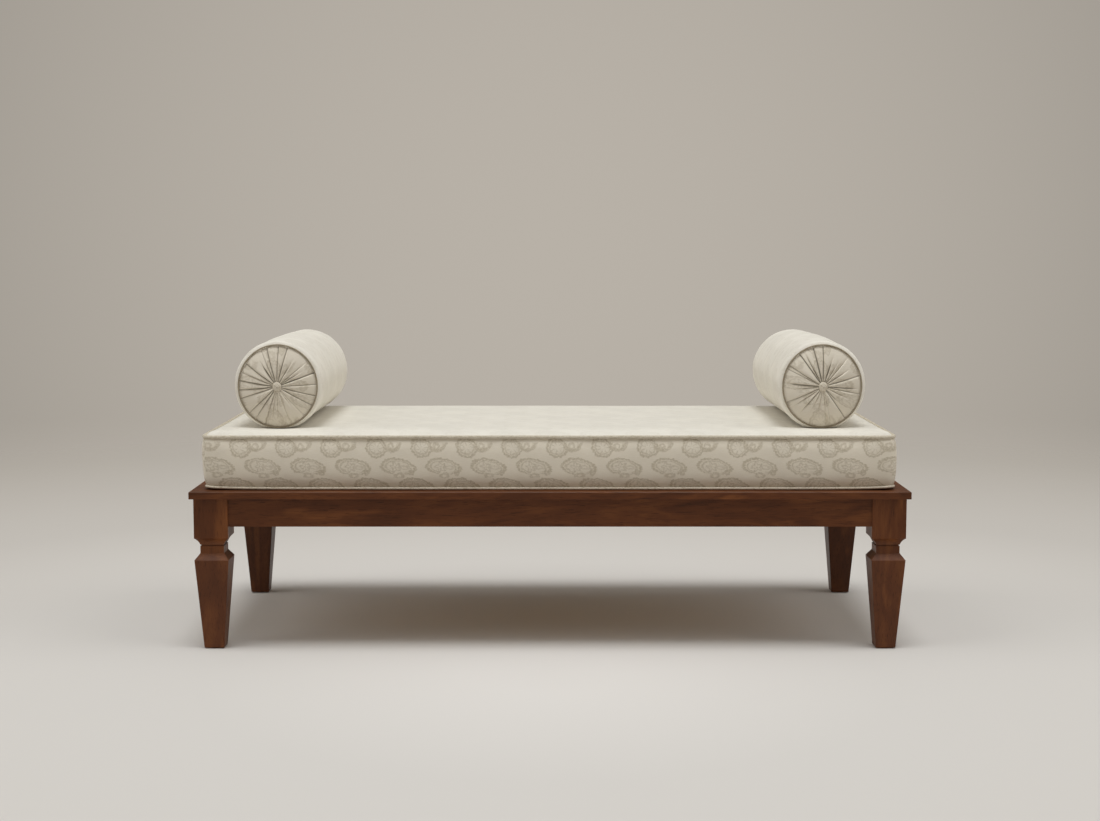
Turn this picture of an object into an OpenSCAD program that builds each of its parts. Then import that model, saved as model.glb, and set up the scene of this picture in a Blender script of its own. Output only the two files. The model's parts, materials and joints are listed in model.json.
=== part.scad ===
// Daybed: a mitred wooden top frame on four square tapered legs, a slatted bed,
// a boxed mattress with piped seams, and two round bolsters with gathered ends.
// Millimetres, +Z up, the front faces -Y. The origin is on the floor under the
// middle of the top frame.

/* [Top frame] */
// Length of the top frame
frame_l = 1980; // [1940:10:2060]
// Depth of the top frame
frame_w = 880; // [860:10:920]
// Height of the top frame's upper face above the floor
frame_h = 443; // [430:1:470]
// Thickness of the top frame's boards
board_t = 20; // [18:1:24]
// Width of the top frame's boards
board_w = 110; // [105:1:115]
// How far the boards overhang the legs
overhang = 10.5; // [8:0.5:16]

/* [Legs and rails] */
// Side of the square leg at its full width
leg_w = 94; // [88:1:98]
// Side of the leg's neck
neck_w = 65; // [58:1:70]
// Side of the foot at the floor
foot_w = 55; // [48:1:60]
// Height of the leg's square block below the boards
leg_block_h = 110; // [105:1:120]
// Height of the cove between the block and the neck
cove_h = 19.5; // [14:0.5:22]
// Height of the neck between the cove and the lower chamfer
neck_h = 23.5; // [20:0.5:28]
// Height of the chamfer that leads from the neck to the taper
chamfer_h = 18.5; // [14:0.5:22]
// Height of the rails under the boards
rail_h = 78; // [74:1:84]
// Thickness of the rails
rail_t = 20; // [18:1:22]
// How far the rails sit behind the legs' outer faces
rail_recess = 6; // [4:1:8]

/* [Slatted bed] */
// Number of slats across the bed
slat_count = 10; // [8:1:10]
// Width of one slat
slat_w = 95; // [70:5:100]

/* [Mattress] */
// Length of the mattress
mattress_l = 1900; // [1860:10:1900]
// Depth of the mattress
mattress_w = 800; // [780:10:800]
// Height of the mattress at its seams
mattress_h = 150; // [140:5:170]
// How much higher its top is in the middle
crown_h = 10; // [4:1:12]
// Radius of the corded piping
piping_r = 5; // [4:0.5:6]

/* [Bolsters] */
// Outer diameter of a bolster
bolster_d = 240; // [220:10:250]
// Length of a bolster
bolster_l = 640; // [600:10:700]
// Distance of a bolster's axis from the middle of the bed
bolster_x = 760; // [700:10:780]
// Diameter of the covered button in the middle of each end
button_d = 27; // [22:1:34]

/* [Hidden] */
$fn = 64;
eps = 0.1;

// Faces of the frame
leg_top = frame_h - board_t;
half_l = frame_l / 2;
half_w = frame_w / 2;
open_l = half_l - board_w;
open_w = half_w - board_w;
// The rails' inner faces meet at this corner, the origin of each corner's parts
corner_x = half_l - overhang - rail_recess - rail_t;
corner_y = half_w - overhang - rail_recess - rail_t;
arris = 1;

// Levels and shape of a leg, from the floor up
glide_t = 3;
glide_r = 19;
stem_r = 3;
stem_h = 15;
cove_w = (leg_w - neck_w) / 2;
cove_bend = 20;
cove_chord = norm([cove_w, cove_h]);
cove_r = cove_chord / 2 / sin(cove_bend);
cove_out = cove_r * cos(cove_bend) / cove_chord;
neck_top = leg_top - leg_block_h - cove_h;
neck_bottom = neck_top - neck_h;
taper_top = neck_bottom - chamfer_h;
quirk_w = 2.5;
quirk_h = 4;
leg_c = leg_w / 2 - rail_t - rail_recess;
leg_inner = leg_c + leg_w / 2;

// Tenons of the rails
tenon_l = 30;
tenon_t = 10;
tenon_shoulder = 12;

// Corner blocks, measured along the corner's diagonal
block_t = 28;
block_h = 60;
seat_depth = 8.5;
seat = leg_inner * sqrt(2) - seat_depth;
block_back = seat + block_t;
bolt_r = 4;
bolt_in_leg = 45;
bolt_tail = 14;
washer_t = 1.6;
nut_t = 6.5;
side_screw_l = 38;
side_screw_y = 89;
side_screw_z = [15, 45];
top_screw_l = 50;
top_screw_y = 42;
counterbore_r = 5.5;
counterbore_h = 25;

// Mitre splines, cleats, slats and the stretcher
spline_l = 60;
spline_w = 30;
spline_t = 4;
cleat_w = 30;
cleat_h = 25;
cleat_lap = 15;
cleat_l = 2 * (open_l - 40);
cleat_screw_l = 38;
cleat_screw_count = 8;
slat_end_gap = 1;
slat_screw_l = 32;
slat_screw_in = 8;
slat_gap = (2 * open_l - slat_count * slat_w) / (slat_count + 1);
stretcher_w = 30;
stretcher_h = 48;
stretcher_tenon = 8;
screw_r = 2;
screw_head_r = 4;
screw_head_h = 2.4;
hole_play = 0.1;

// Mattress
lift_gap = 0.3;
mattress_z = frame_h + lift_gap;
seam_z = mattress_z + mattress_h;
mattress_top = seam_z + crown_h;
crown_slope = 20;
mattress_corner_r = 30;
cover_wall = 9;
piping_proud = 3.5;
piping_low = mattress_z + 8;
piping_high = seam_z - 3.5;

// Zip: tape, chain, slider and pull
tape_t = 1;
tape_w = 24;
chain_w = 6;
chain_t = 2.4;
chain_margin = 12;
stop_l = 3;
slider_l = 12;
slider_gap = 0.3;
slider_plate_t = 1.4;
slider_lip = 1.2;
bar_r = 0.8;
bar_rise = 3.2;
post_w = 1.6;
eye_r = 2.1;
eye_l = 7;
eye_play = 0.08;
pull_t = 1.4;
pull_l = 20;
plate_y = tape_t + chain_t + slider_gap;
bar_y = plate_y + slider_plate_t + bar_rise;
mattress_zip_l = 1500;
mattress_zip_z = mattress_z + mattress_h / 2;
bolster_zip_l = 520;

// Bolsters
bolster_r = bolster_d / 2;
bolster_z = mattress_top + lift_gap + bolster_r;
end_r = bolster_r - 7;
end_round = 22;
welt_r = 4;
welt_t = bolster_l / 2 - welt_r;
barrel_t = welt_t - welt_r;
barrel_wall = 6;
end_panel_t = 3;
end_panel_r = end_r - welt_r;
zip_flat = 0.8;
twine_r = 0.8;
fit_gap = 0.3;

corner_names = ["front_left", "front_right", "rear_left", "rear_right"];
walnut = "#4a2a1b";
pine = "#d8b98a";
steel = "#a9abad";
fabric = "#cdc3ae";
foam = "#ece6c8";

function mirrored_x(i) = i % 2;
function mirrored_y(i) = i < 2 ? 0 : 1;
function slat_x(i) = -open_l + slat_gap + slat_w / 2 + (i - 1) * (slat_w + slat_gap);
function slider_start(len) = len / 2 - chain_margin - slider_l / 2 - 0.5;

// ---- Placing helpers ----

// The front left corner's parts, mirrored to any corner
module at_corner(i) {
    mirror([mirrored_x(i), 0, 0])
        mirror([0, mirrored_y(i), 0])
            translate([-corner_x, -corner_y, 0])
                children();
}

module at_all_corners() {
    for (i = [0:3]) at_corner(i) children();
}

// Inside a corner: +X then points along the diagonal, into the bed
module on_diagonal(along = 0, across = 0, up = 0) {
    rotate([0, 0, 45]) translate([along, across, up]) children();
}

// The right bolster's parts, mirrored for the left one
module at_bolster(side) {
    mirror([side == "left" ? 1 : 0, 0, 0])
        translate([bolster_x, 0, bolster_z])
            children();
}

// A zip's own frame: it runs along X, faces +Y, and its tape starts at y = 0
module at_mattress_zip() {
    translate([0, mattress_w / 2, mattress_zip_z]) children();
}

module at_bolster_zip(side) {
    at_bolster(side)
        translate([bolster_r - zip_flat, 0, 0])
            rotate([0, 0, -90])
                children();
}

// ---- Screws and bolts ----

// A countersunk screw whose head is flush with z = 0 and points down
module screw(len, play = 0) {
    translate([0, 0, -len - play])
        cylinder(r = screw_r + play, h = len + play);
    translate([0, 0, -screw_head_h])
        cylinder(r1 = screw_r + play, r2 = screw_head_r + play, h = screw_head_h);
}

// Screws through a corner block: two into each rail, two up into the boards
module place_block_side_screws() {
    for (s = [-1, 1])
        for (z = side_screw_z)
            on_diagonal(block_back, s * side_screw_y, leg_top - z)
                rotate([0, 90, 0])
                    children();
}

module place_block_top_screws() {
    for (s = [-1, 1])
        on_diagonal(seat + block_t / 2, s * top_screw_y, leg_top - block_h + counterbore_h)
            rotate([180, 0, 0])
                children();
}

module block_screws(play = 0) {
    place_block_side_screws() screw(side_screw_l, play);
    place_block_top_screws() screw(top_screw_l, play);
}

module hanger_bolt(play = 0) {
    on_diagonal(seat - bolt_in_leg, 0, leg_top - block_h / 2)
        rotate([0, 90, 0])
            cylinder(r = bolt_r + play, h = bolt_in_leg + block_t + bolt_tail);
}

module place_cleat_screws(side) {
    for (i = [0:cleat_screw_count - 1])
        translate([
            (i + 0.5 - cleat_screw_count / 2) * cleat_l / cleat_screw_count,
            side * (open_w + cleat_lap / 2),
            leg_top - cleat_h])
            rotate([180, 0, 0])
                children();
}

module place_slat_screws(i) {
    for (side = [-1, 1])
        translate([slat_x(i), side * (open_w - slat_screw_in), frame_h])
            children();
}

// ---- Legs ----

// A shallow cove between the leg's block and its neck
module cove(side) {
    intersection() {
        translate([
            side * (neck_w / 2 + cove_w / 2 + cove_h * cove_out),
            neck_top + cove_h / 2 - cove_w * cove_out])
            circle(cove_r);
        translate([side * leg_w / 2 - cove_w, neck_top])
            square([2 * cove_w, cove_h]);
    }
}

// The leg's outline, the same from the front and from the side
module leg_outline() {
    difference() {
        union() {
            translate([-leg_w / 2, neck_top])
                square([leg_w, leg_top - neck_top]);
            polygon([
                [-foot_w / 2, glide_t], [foot_w / 2, glide_t],
                [leg_w / 2, taper_top], [neck_w / 2, neck_bottom],
                [neck_w / 2, neck_top], [-neck_w / 2, neck_top],
                [-neck_w / 2, neck_bottom], [-leg_w / 2, taper_top]]);
        }
        for (s = [-1, 1]) {
            cove(s);
            translate([s * neck_w / 2 - quirk_w, neck_top - quirk_h])
                square([2 * quirk_w, quirk_h]);
        }
    }
}

// Takes the sharp edge off the leg's four arrises, seen across its diagonal
module arris_outline() {
    foot_d = foot_w / sqrt(2) - arris;
    full_d = leg_w / sqrt(2) - arris;
    polygon([
        [-foot_d, glide_t], [foot_d, glide_t], [full_d, taper_top],
        [full_d, leg_top], [-full_d, leg_top], [-full_d, taper_top]]);
}

module through(outline_w, turn) {
    rotate([0, 0, turn])
        rotate([90, 0, 0])
            linear_extrude(outline_w, center = true)
                children();
}

module leg_blank() {
    translate([leg_c, leg_c, 0])
        intersection() {
            through(2 * leg_w, 0) leg_outline();
            through(2 * leg_w, 90) leg_outline();
            through(2 * leg_w, 45) arris_outline();
            through(2 * leg_w, 135) arris_outline();
        }
}

module front_tenon(play = 0) {
    translate([
        leg_inner - tenon_l - play,
        -rail_t / 2 - tenon_t / 2 - play,
        leg_top - rail_h + tenon_shoulder - play])
        cube([tenon_l + play, tenon_t + 2 * play, rail_h - 2 * tenon_shoulder + 2 * play]);
}

// The same tenon on the end rail, across the corner's diagonal
module end_tenon(play = 0) {
    mirror([1, -1, 0]) front_tenon(play);
}

module leg() {
    color(walnut)
        difference() {
            leg_blank();
            front_tenon(hole_play);
            end_tenon(hole_play);
            on_diagonal(seat, -leg_w / 2, leg_top - block_h)
                cube([leg_w, leg_w, block_h + eps]);
            hanger_bolt(hole_play / 2);
            translate([leg_c, leg_c, 0])
                cylinder(r = stem_r + hole_play / 2, h = glide_t + stem_h + hole_play);
        }
}

module foot_glides() {
    color("#2b2622")
        at_all_corners()
            translate([leg_c, leg_c, 0]) {
                cylinder(r = glide_r, h = glide_t);
                cylinder(r = stem_r, h = glide_t + stem_h);
            }
}

// ---- Rails ----

module long_rail_blank() {
    rail_l = 2 * (corner_x - leg_inner);
    translate([-rail_l / 2, -corner_y - rail_t, leg_top - rail_h])
        cube([rail_l, rail_t, rail_h]);
    for (i = [0, 1]) at_corner(i) front_tenon();
}

module end_rail_blank() {
    rail_l = 2 * (corner_y - leg_inner);
    translate([-corner_x - rail_t, -rail_l / 2, leg_top - rail_h])
        cube([rail_t, rail_l, rail_h]);
    for (i = [0, 2]) at_corner(i) end_tenon();
}

module long_rail(rear) {
    color(walnut)
        mirror([0, rear, 0])
            difference() {
                long_rail_blank();
                for (i = [0, 1]) at_corner(i) block_screws(hole_play);
                stretcher_blank(hole_play);
            }
}

module end_rail(right) {
    color(walnut)
        mirror([right, 0, 0])
            difference() {
                end_rail_blank();
                for (i = [0, 2]) at_corner(i) block_screws(hole_play);
            }
}

// ---- Top frame ----

// Section of a board across its length: outer edge at 0, upper face at frame_h
module board_section() {
    translate([0, leg_top])
        polygon([
            [0, arris], [arris, 0], [board_w, 0], [board_w, board_t - arris],
            [board_w - arris, board_t], [arris, board_t], [0, board_t - arris]]);
}

module mitre_spline(play = 0) {
    on_diagonal((open_spline() - spline_l / 2) - play, -spline_w / 2 - play, spline_z() - play)
        cube([spline_l + 2 * play, spline_w + 2 * play, spline_t + 2 * play]);
}

function spline_z() = leg_top + (board_t - spline_t) / 2;
function open_spline() = (corner_x - open_l + corner_x - half_l) / 2 * sqrt(2);

module board(len, edge) {
    intersection() {
        translate([0, -edge, 0])
            rotate([90, 0, 90])
                linear_extrude(len, center = true)
                    board_section();
        translate([0, 0, leg_top - eps])
            linear_extrude(board_t + 2 * eps)
                polygon([
                    [-len / 2, -edge], [len / 2, -edge],
                    [len / 2 - board_w, board_w - edge], [board_w - len / 2, board_w - edge]]);
    }
}

module board_holes() {
    at_all_corners() {
        block_screws(hole_play);
        mitre_spline(hole_play);
    }
    for (side = [-1, 1]) place_cleat_screws(side) screw(cleat_screw_l, hole_play);
}

module long_board(rear) {
    color(walnut)
        difference() {
            mirror([0, rear, 0]) board(frame_l, half_w);
            board_holes();
        }
}

module end_board(right) {
    color(walnut)
        difference() {
            mirror([right, 0, 0]) rotate([0, 0, -90]) board(frame_w, half_l);
            board_holes();
        }
}

module mitre_splines() {
    color(pine) at_all_corners() mitre_spline();
}

// ---- Slatted bed ----

module cleat(side) {
    color(pine)
        difference() {
            translate([
                -cleat_l / 2,
                side > 0 ? open_w + cleat_lap - cleat_w : -open_w - cleat_lap,
                leg_top - cleat_h])
                cube([cleat_l, cleat_w, cleat_h]);
            place_cleat_screws(side) screw(cleat_screw_l, hole_play);
            for (i = [1:slat_count]) place_slat_screws(i) screw(slat_screw_l, hole_play);
        }
}

module stretcher_blank(play = 0) {
    top = leg_top - cleat_h;
    translate([-stretcher_w / 2, -corner_y, top - stretcher_h])
        cube([stretcher_w, 2 * corner_y, stretcher_h]);
    translate([
        -tenon_t / 2 - play,
        -corner_y - stretcher_tenon - play,
        top - stretcher_h + tenon_shoulder - play])
        cube([
            tenon_t + 2 * play,
            2 * (corner_y + stretcher_tenon + play),
            stretcher_h - 2 * tenon_shoulder + 2 * play]);
}

module centre_stretcher() {
    color(pine) stretcher_blank();
}

module slat(i) {
    slat_l = 2 * (open_w - slat_end_gap);
    color(pine)
        difference() {
            translate([slat_x(i) - slat_w / 2, -slat_l / 2, leg_top])
                cube([slat_w, slat_l, board_t]);
            place_slat_screws(i) screw(slat_screw_l, hole_play);
        }
}

module slat_screws() {
    color(steel)
        for (i = [1:slat_count]) place_slat_screws(i) screw(slat_screw_l);
}

module cleat_screws() {
    color(steel)
        for (side = [-1, 1]) place_cleat_screws(side) screw(cleat_screw_l);
}

// ---- Corner blocks and their fasteners ----

module corner_block() {
    reach = 2 * seat;
    color(pine)
        difference() {
            intersection() {
                translate([0, 0, leg_top - block_h])
                    cube([reach, reach, block_h]);
                on_diagonal(seat, -reach, leg_top - block_h)
                    cube([block_t, 2 * reach, block_h]);
            }
            block_screws(hole_play);
            place_block_top_screws()
                cylinder(r = counterbore_r, h = counterbore_h + eps);
            hanger_bolt(2 * hole_play);
        }
}

module corner_block_screws() {
    color(steel) at_all_corners() block_screws();
}

module hanger_bolts() {
    color(steel) at_all_corners() hanger_bolt();
}

module place_on_bolt(from_back) {
    on_diagonal(block_back + from_back, 0, leg_top - block_h / 2)
        rotate([0, 90, 0])
            children();
}

module bolt_washers() {
    color(steel)
        at_all_corners()
            place_on_bolt(0)
                difference() {
                    cylinder(r = 2 * bolt_r, h = washer_t);
                    translate([0, 0, -eps])
                        cylinder(r = bolt_r + 3 * hole_play, h = washer_t + 2 * eps);
                }
}

module bolt_nuts() {
    color(steel)
        at_all_corners()
            place_on_bolt(washer_t)
                difference() {
                    cylinder(r = 1.88 * bolt_r, h = nut_t, $fn = 6);
                    translate([0, 0, -eps])
                        cylinder(r = bolt_r + hole_play / 2, h = nut_t + 2 * eps);
                }
}

// ---- Mattress ----

module rounded_rect(l, w, r) {
    square([l - 2 * r, w], center = true);
    square([l, w - 2 * r], center = true);
    for (x = [-1, 1])
        for (y = [-1, 1])
            translate([x * (l / 2 - r), y * (w / 2 - r)])
                circle(r);
}

// Flat on top, and sloping down to the seam along both edges
module crown_outline(w) {
    polygon([
        [-w / 2, mattress_z], [w / 2, mattress_z], [w / 2, seam_z],
        [w / 2 - crown_slope, mattress_top], [crown_slope - w / 2, mattress_top],
        [-w / 2, seam_z]]);
}

// A closed ring of cord round the mattress
module piping_ring(play = 0) {
    path_l = mattress_l + 2 * (piping_proud - piping_r);
    path_w = mattress_w + 2 * (piping_proud - piping_r);
    r = mattress_corner_r;
    for (s = [-1, 1]) {
        translate([0, s * path_w / 2, 0])
            rotate([0, 90, 0])
                cylinder(r = piping_r + play, h = path_l - 2 * r, center = true);
        translate([s * path_l / 2, 0, 0])
            rotate([90, 0, 0])
                cylinder(r = piping_r + play, h = path_w - 2 * r, center = true);
    }
    for (x = [0, 1])
        for (y = [0, 1])
            mirror([x, 0, 0])
                mirror([0, y, 0])
                    translate([path_l / 2 - r, path_w / 2 - r, 0])
                        rotate_extrude(angle = 90)
                            translate([r, 0])
                                circle(piping_r + play);
}

// The space this far inside the mattress's outer faces
module mattress_inside(gap) {
    translate([0, 0, mattress_z + gap])
        linear_extrude(mattress_h - 2 * gap)
            rounded_rect(
                mattress_l - 2 * gap, mattress_w - 2 * gap, mattress_corner_r - gap);
}

module mattress_core() {
    color(foam) mattress_inside(cover_wall + fit_gap);
}

module mattress_cover() {
    color(fabric)
        difference() {
            intersection() {
                translate([0, 0, mattress_z])
                    linear_extrude(mattress_top - mattress_z)
                        rounded_rect(mattress_l, mattress_w, mattress_corner_r);
                through(2 * mattress_w, 0) crown_outline(mattress_l);
                through(2 * mattress_l, 90) crown_outline(mattress_w);
            }
            mattress_inside(cover_wall);
            for (z = [piping_low, piping_high])
                translate([0, 0, z]) piping_ring(hole_play);
        }
}

module mattress_piping() {
    color("#c2b69c")
        for (z = [piping_low, piping_high])
            translate([0, 0, z]) piping_ring();
}

// ---- Zips ----

module zip_run(len) {
    chain_l = len - 2 * chain_margin;
    color("#b9ad95") {
        translate([-len / 2, 0, -tape_w / 2])
            cube([len, tape_t, tape_w]);
        translate([-chain_l / 2, tape_t - eps, -chain_w / 2])
            cube([chain_l, chain_t + eps, chain_w]);
        for (s = [-1, 1])
            translate([s * (chain_l + stop_l) / 2, tape_t + chain_t / 2 - eps, 0])
                cube([stop_l, chain_t + 2 * eps, chain_w + 2], center = true);
    }
}

// A slider with a bail bar along its travel, which the pull turns about
module zip_slider(len) {
    lip_z = chain_w / 2 + slider_gap;
    outer_w = 2 * (lip_z + slider_lip);
    outer_y = plate_y + slider_plate_t;
    color(steel)
        translate([-slider_start(len), 0, 0]) {
            translate([-slider_l / 2, plate_y, -outer_w / 2])
                cube([slider_l, slider_plate_t, outer_w]);
            for (s = [0, 1])
                mirror([0, 0, s])
                    translate([-slider_l / 2, tape_t + slider_gap, lip_z])
                        cube([slider_l, chain_t + eps, slider_lip]);
            for (s = [-1, 1])
                translate([s * (eye_l / 2 + fit_gap + post_w / 2), outer_y + (bar_rise + bar_r) / 2, 0])
                    cube([post_w, bar_rise + bar_r + 2 * eps, post_w], center = true);
            translate([0, bar_y, 0])
                rotate([0, 90, 0])
                    cylinder(r = bar_r, h = eye_l + 2 * fit_gap + eps, center = true, $fn = 32);
        }
}

module zip_pull(len) {
    hole_r = 1.6;
    color("#8f9193")
        translate([-slider_start(len), bar_y, 0])
            difference() {
                union() {
                    rotate([0, 90, 0])
                        cylinder(r = eye_r, h = eye_l, center = true, $fn = 32);
                    translate([-eye_l / 2, -pull_t / 2, -pull_l])
                        cube([eye_l, pull_t, pull_l]);
                    translate([0, 0, -pull_l])
                        rotate([90, 0, 0])
                            cylinder(r = eye_l / 2, h = pull_t, center = true, $fn = 32);
                }
                rotate([0, 90, 0])
                    cylinder(r = bar_r + eye_play, h = eye_l + 1, center = true, $fn = 32);
                translate([0, 0, -pull_l])
                    rotate([90, 0, 0])
                        cylinder(r = hole_r, h = pull_t + 1, center = true, $fn = 32);
            }
}

// ---- Bolsters ----

// Turns a shape made about Z so that its axis lies along Y
module lay_down() {
    rotate([90, 0, 0]) children();
}

module bolster_core(side) {
    color(foam)
        at_bolster(side)
            lay_down()
                difference() {
                    cylinder(
                        r = end_r - barrel_wall - fit_gap,
                        h = 2 * (barrel_t - fit_gap),
                        center = true);
                    cylinder(r = twine_r + hole_play, h = bolster_l, center = true);
                }
}

// The sleeve: full width along its middle, drawn in at both ends
module bolster_barrel(side) {
    bulge = bolster_r - end_r;
    rounding = [for (a = [0:15:90]) [end_r + bulge * cos(a), barrel_t - end_round * (1 - sin(a))]];
    color(fabric)
        at_bolster(side)
            difference() {
                lay_down()
                    rotate_extrude($fn = 96)
                        polygon(concat(
                            [[end_r - barrel_wall, -barrel_t]],
                            [for (i = [len(rounding) - 1:-1:0]) [rounding[i][0], -rounding[i][1]]],
                            rounding,
                            [[end_r - barrel_wall, barrel_t]]));
                translate([bolster_r - zip_flat, -bolster_l / 2, -bolster_r])
                    cube([bolster_r, bolster_l, 2 * bolster_r]);
            }
}

module bolster_end_panels(side) {
    color("#bdb196")
        at_bolster(side)
            for (s = [0, 1])
                mirror([0, s, 0])
                    translate([0, -barrel_t, 0])
                        lay_down()
                            difference() {
                                cylinder(r = end_panel_r, h = end_panel_t);
                                translate([0, 0, -eps])
                                    cylinder(r = twine_r + hole_play, h = end_panel_t + 1);
                            }
}

module bolster_welts(side) {
    color("#c2b69c")
        at_bolster(side)
            for (s = [-1, 1])
                translate([0, s * welt_t, 0])
                    lay_down()
                        rotate_extrude($fn = 96)
                            translate([end_r + fit_gap, 0])
                                circle(welt_r - fit_gap / 2);
}

// Two covered buttons, and the twine that ties them together through the core
module bolster_buttons(side) {
    button_h = bolster_l / 2 - barrel_t - end_panel_t;
    color(fabric)
        at_bolster(side) {
            for (s = [0, 1])
                mirror([0, s, 0])
                    translate([0, -barrel_t - end_panel_t, 0])
                        lay_down() {
                            cylinder(r = button_d / 2, h = button_h / 2);
                            translate([0, 0, button_h / 2])
                                cylinder(r1 = button_d / 2, r2 = button_d / 4, h = button_h / 2);
                        }
            lay_down()
                cylinder(r = twine_r, h = 2 * (barrel_t + end_panel_t), center = true);
        }
}

// ---- Parts ----

for (i = [0:3]) {
    at_corner(i) leg();
    at_corner(i) corner_block();
}
for (i = [1:slat_count])
    slat(i);
long_rail(0);  // front_rail
long_rail(1);  // rear_rail
end_rail(0);  // left_rail
end_rail(1);  // right_rail
long_board(0);  // front_board
long_board(1);  // rear_board
end_board(0);  // left_board
end_board(1);  // right_board
cleat(-1);  // front_cleat
cleat(1);  // rear_cleat
centre_stretcher();
mitre_splines();
foot_glides();
hanger_bolts();
bolt_washers();
bolt_nuts();
corner_block_screws();
cleat_screws();
slat_screws();
mattress_core();
mattress_cover();
mattress_piping();
at_mattress_zip() zip_run(mattress_zip_l);  // mattress_zip
at_mattress_zip() zip_slider(mattress_zip_l);  // mattress_zip_slider
at_mattress_zip() zip_pull(mattress_zip_l);  // mattress_zip_pull
for (s = ["left", "right"]) {
    bolster_core(s);
    bolster_barrel(s);
    bolster_end_panels(s);
    bolster_welts(s);
    bolster_buttons(s);
    at_bolster_zip(s) zip_run(bolster_zip_l);
    at_bolster_zip(s) zip_slider(bolster_zip_l);
    at_bolster_zip(s) zip_pull(bolster_zip_l);
}
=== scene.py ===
"""Looks of the daybed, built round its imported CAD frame. Metres, +Z up, the front faces -Y.

The wood, screws and zip sliders are the frame's own nodes with better materials. The
mattress, its piping, the bolsters and the zip tapes are modelled here.
"""

import json
import math
import random

import bmesh
import bpy
import numpy as np
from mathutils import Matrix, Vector, noise


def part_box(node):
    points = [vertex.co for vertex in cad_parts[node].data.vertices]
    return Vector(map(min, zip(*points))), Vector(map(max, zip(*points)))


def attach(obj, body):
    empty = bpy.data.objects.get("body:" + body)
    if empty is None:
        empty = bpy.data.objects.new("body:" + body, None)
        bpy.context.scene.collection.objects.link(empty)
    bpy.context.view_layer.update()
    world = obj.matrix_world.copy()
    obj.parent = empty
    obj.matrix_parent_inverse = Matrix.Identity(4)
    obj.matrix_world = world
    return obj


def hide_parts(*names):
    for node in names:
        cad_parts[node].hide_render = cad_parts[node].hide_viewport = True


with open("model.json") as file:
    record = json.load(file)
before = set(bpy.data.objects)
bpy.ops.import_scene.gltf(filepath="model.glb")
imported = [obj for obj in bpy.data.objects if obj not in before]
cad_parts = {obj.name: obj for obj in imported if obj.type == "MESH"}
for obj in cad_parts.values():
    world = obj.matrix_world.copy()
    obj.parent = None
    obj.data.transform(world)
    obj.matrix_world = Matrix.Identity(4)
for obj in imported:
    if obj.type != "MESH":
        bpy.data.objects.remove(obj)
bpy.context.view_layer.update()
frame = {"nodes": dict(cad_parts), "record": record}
NODES = frame["nodes"]
SCENE = bpy.context.scene

# Camera: a little above the bolsters and far enough off to see the whole, looking slightly down
CAMERA_PLACE = (0.0, -5.165, 1.137)
CAMERA_PITCH = math.radians(5.67)
CAMERA_LENS = 57.05
SENSOR_WIDTH = 36.0

# Light
SCENE.view_settings.view_transform = "Standard"
KEY_STRENGTH = 1.48
KEY_SPREAD = 0.44
KEY_LEAN = math.atan(0.17)
KEY_COLOUR = (0.985, 1.0, 1.0)
AIR_COLOUR = (1.0, 0.850, 0.715, 1)
AIR_STRENGTH = 0.215
CEILING_COLOUR = (1.0, 0.955, 0.890, 1)
CEILING_STRENGTH = 0.28
SIDE_STRENGTH = 0.56
SIDE_SPREAD = 0.8
SIDE_COLOUR = (1.0, 0.985, 0.955)
SIDE_FROM = (0.72, -0.12, 0.65)
CEILING_RISE = (0.15, 0.85)
BACKDROP_COLOUR = (0.479, 0.439, 0.386, 1)
BACKDROP_EDGE = 0.91
BACKDROP_DIM = 0.62
FLOOR_R = 7.0
# Painted light: the floor's colour is brightest just before the daybed and darker further off, a
# painted fall-off of light
FLOOR_PAINTED_LIGHT_Y = -0.7
FLOOR_FADE = (0.35, 0.98)
FLOOR_PAINTED_FALLOFF = (
    (0.2, (0.770, 0.750, 0.728)),
    (0.9, (0.690, 0.672, 0.648)),
    (1.6, (0.675, 0.655, 0.628)),
    (2.1, (0.635, 0.612, 0.582)),
    (2.8, (0.565, 0.540, 0.508)),
    (5.0, (0.485, 0.455, 0.415)),
)

# Cushions
CUSHION_PRESSURE = 4.0
SIM_FRAMES = 14
PIPING_R = 0.0048
LOWER_PIPING_R = 0.0036
SEAM_INSET = 0.0055
CORNER_R = 0.030
CROWN = 0.0035
CORNER_LIFT = 0.0055
SEAM_DROP = 0.0035
END_SPREAD = 0.0035
TOP_SPREAD = 0.0055
PANEL_GRID = 0.018
BOXING_BULGE = 0.0058
PLEATS = 25
PLEAT_DEPTH = 0.0100
CREASE_W = 0.0024
END_DOME = 0.024
BUTTON_DIP = 0.0055
BUTTON_R = 0.0135
WELT_INSET = -0.0024
WELT_R = 0.0020
END_SQUEEZE = 0.048
SQUEEZE_REACH = 0.007
END_PUFF = 0.0030
PUFF_REACH = 0.018
SHOULDER = 0.012
BARREL_CROWN = 0.0095

# Jacquard pattern: rows of paisley motifs
MOTIF_COLUMN = 0.1243
MOTIF_ROW = 0.056
MOTIF_START_U = 0.0197
MOTIF_START_V = 0.4218
MOTIF_STAGGER = 0.0115
WOBBLE = 0.014


# ---- Material graphs ----


class Value:
    """A number inside a material: arithmetic on it adds Math nodes."""

    def __init__(self, graph, socket):
        self.graph, self.socket = graph, socket

    def __add__(self, other):
        return self.graph.math("ADD", self, other)

    def __sub__(self, other):
        return self.graph.math("SUBTRACT", self, other)

    def __rsub__(self, other):
        return self.graph.math("SUBTRACT", other, self)

    def __mul__(self, other):
        return self.graph.math("MULTIPLY", self, other)

    def __truediv__(self, other):
        return self.graph.math("DIVIDE", self, other)

    def __abs__(self):
        return self.graph.math("ABSOLUTE", self)

    __radd__ = __add__
    __rmul__ = __mul__


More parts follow.
